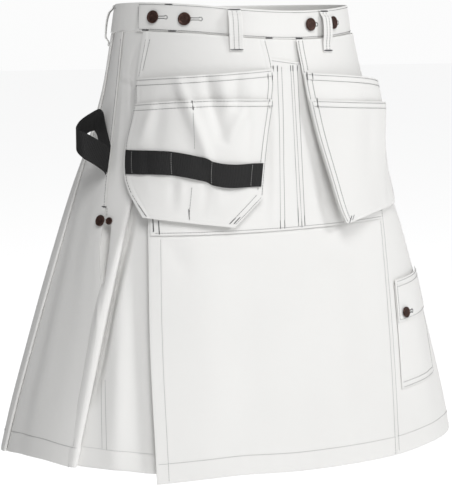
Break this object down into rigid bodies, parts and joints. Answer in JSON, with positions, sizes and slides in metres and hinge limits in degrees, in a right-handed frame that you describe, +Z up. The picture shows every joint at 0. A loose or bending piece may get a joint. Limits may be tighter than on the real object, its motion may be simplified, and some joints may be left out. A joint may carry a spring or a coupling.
{
  "type": "utility kilt, worn, with hanging holster pockets",
  "caption": "Worn canvas utility kilt: waistband with belt loops, flat apron, pleated sides and back, holster pockets, leg pocket and hammer loop.",
  "frame": {"origin": "centre of the waistband, at half its height, where the wearer's waist holds the kilt", "axes": "+Z up along the wearer's body, -Y towards the front, +X towards the wearer's left"},
  "size_m": [0.6215, 0.3398, 0.581],
  "materials": {
    "canvas": "matt heavy cotton canvas, off-white, with pale grey stitching",
    "webbing": "ribbed black webbing",
    "button_metal": "dark antique copper, worn at the rim"
  },
  "bodies": {
    "root": {"waistband": "canvas", "apron_front": "canvas", "pocket_panel": "canvas", "side_panel_right": "canvas", "side_panel_left": "canvas", "back_panel_right": "canvas", "back_panel_left": "canvas", "holster_backing_right": "canvas", "holster_inner_pouch_right": "canvas", "holster_outer_pouch_right": "canvas", "holster_backing_left": "canvas", "holster_inner_pouch_left": "canvas", "holster_outer_pouch_left": "canvas", "tool_webbing": "webbing", "hammer_loop": "webbing", "leg_pocket": "canvas", "leg_pocket_flap": "canvas", "belt_loop_front_right": "canvas", "belt_loop_front_left": "canvas", "belt_loop_side_right": "canvas", "belt_loop_side_left": "canvas", "belt_loop_back": "canvas", "waist_button_right_outer": "button_metal", "waist_button_right_inner": "button_metal", "waist_button_left_inner": "button_metal", "waist_button_left_outer": "button_metal", "slit_button_back": "button_metal", "slit_button_front": "button_metal", "leg_pocket_button": "button_metal"}
  },
  "joints": []
}
